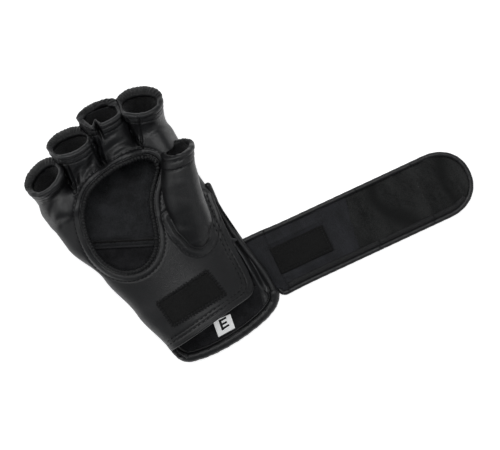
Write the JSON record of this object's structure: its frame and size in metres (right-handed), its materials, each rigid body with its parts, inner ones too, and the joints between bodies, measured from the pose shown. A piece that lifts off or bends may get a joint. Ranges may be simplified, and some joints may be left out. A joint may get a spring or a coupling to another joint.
{
  "type": "open-finger grappling glove",
  "caption": "Right-hand open-finger grappling glove with a padded knuckle section, short finger sleeves, an open palm and a long wrist strap with hook-and-loop patches.",
  "frame": {"origin": "on the flat resting face of the back of the hand, below the middle of the palm", "axes": "+X towards the thumb side, the way the open strap runs; +Y towards the fingers; +Z out of the palm, up when the glove lies on its back"},
  "size_m": [0.3208, 0.2535, 0.0583],
  "materials": {
    "leather": "smooth, satin black",
    "leather_trim": "rolled binding, satin black",
    "foam": "closed-cell foam, hidden",
    "lining": "brushed knit",
    "hook_and_loop": "hook or loop pile",
    "elastic": "folded stretch fabric",
    "label": "woven white label"
  },
  "bodies": {
    "hand": {"back_shell": "leather", "index_middle_gusset": "elastic", "knuckle_foam": "foam", "knuckle_lining": "lining", "middle_ring_gusset": "elastic", "opening_binding": "leather_trim", "palm_hem": "leather_trim", "palm_lining": "lining", "palm_loop_patch": "hook_and_loop", "palm_panel": "leather", "ring_little_gusset": "elastic", "size_label": "label", "slit_binding": "leather_trim", "slit_gusset": "elastic", "strap_piping": "leather_trim", "strap_root": "leather", "wrist_binding": "leather_trim", "wrist_foam": "foam", "wrist_lining": "lining"},
    "index": {"index_loop": "leather", "index_pad_cover": "leather", "index_pad_foam": "foam", "index_lining": "lining", "index_hem": "leather_trim"},
    "middle": {"middle_loop": "leather", "middle_pad_cover": "leather", "middle_pad_foam": "foam", "middle_lining": "lining", "middle_hem": "leather_trim"},
    "ring": {"ring_loop": "leather", "ring_pad_cover": "leather", "ring_pad_foam": "foam", "ring_lining": "lining", "ring_hem": "leather_trim"},
    "little": {"little_loop": "leather", "little_pad_cover": "leather", "little_pad_foam": "foam", "little_lining": "lining", "little_hem": "leather_trim"},
    "thumb": {"thumb_front": "leather", "thumb_back": "leather", "thumb_foam": "foam", "thumb_lining": "lining", "thumb_hem": "leather_trim", "thumb_welt": "leather_trim"},
    "strap_1": {"strap_cover_1": "leather", "strap_lining_1": "lining", "strap_hook_patch": "hook_and_loop"},
    "strap_2": {"strap_cover_2": "leather", "strap_lining_2": "lining"},
    "strap_3": {"strap_cover_3": "leather", "strap_lining_3": "lining"},
    "strap_4": {"strap_cover_4": "leather", "strap_lining_4": "lining"}
  },
  "joints": [
    {"name": "index_flex", "type": "hinge", "parent": "hand", "child": "index", "pos_m": [0.049, 0.0695, 0.038], "axis": [1, 0, 0], "range_deg": [0, 40], "stiffness_Nm_per_rad": 0.1},
    {"name": "middle_flex", "type": "hinge", "parent": "hand", "child": "middle", "pos_m": [0.0165, 0.0695, 0.038], "axis": [1, 0, 0], "range_deg": [0, 40], "stiffness_Nm_per_rad": 0.1},
    {"name": "ring_flex", "type": "hinge", "parent": "hand", "child": "ring", "pos_m": [-0.017, 0.0695, 0.038], "axis": [1, 0, 0], "range_deg": [0, 40], "stiffness_Nm_per_rad": 0.1},
    {"name": "little_flex", "type": "hinge", "parent": "hand", "child": "little", "pos_m": [-0.0512, 0.0695, 0.038], "axis": [1, 0, 0], "range_deg": [0, 40], "stiffness_Nm_per_rad": 0.1},
    {"name": "thumb_lift", "type": "hinge", "parent": "hand", "child": "thumb", "pos_m": [0.022, -0.033, 0.039], "axis": [0.9198, -0.3924, 0], "range_deg": [0, 30], "stiffness_Nm_per_rad": 0.1},
    {"name": "strap_fold_1", "type": "hinge", "parent": "hand", "child": "strap_1", "pos_m": [0.066, -0.0775, 0.0034], "axis": [-0.1564, -0.9877, 0], "range_deg": [0, 120]},
    {"name": "strap_fold_2", "type": "hinge", "parent": "strap_1", "child": "strap_2", "pos_m": [0.12526, -0.08689, 0.0034], "axis": [-0.1564, -0.9877, 0], "range_deg": [0, 53]},
    {"name": "strap_fold_3", "type": "hinge", "parent": "strap_2", "child": "strap_3", "pos_m": [0.19242, -0.09752, 0.0034], "axis": [-0.1564, -0.9877, 0], "range_deg": [0, 55]},
    {"name": "strap_fold_4", "type": "hinge", "parent": "strap_3", "child": "strap_4", "pos_m": [0.22601, -0.10284, 0.0034], "axis": [-0.1564, -0.9877, 0], "range_deg": [0, 22]}
  ],
  "couplings": [
    {"joint": "strap_fold_2", "follows": "strap_fold_1", "ratio": 0.44167},
    {"joint": "strap_fold_3", "follows": "strap_fold_1", "ratio": 0.45833},
    {"joint": "strap_fold_4", "follows": "strap_fold_1", "ratio": 0.18333}
  ]
}
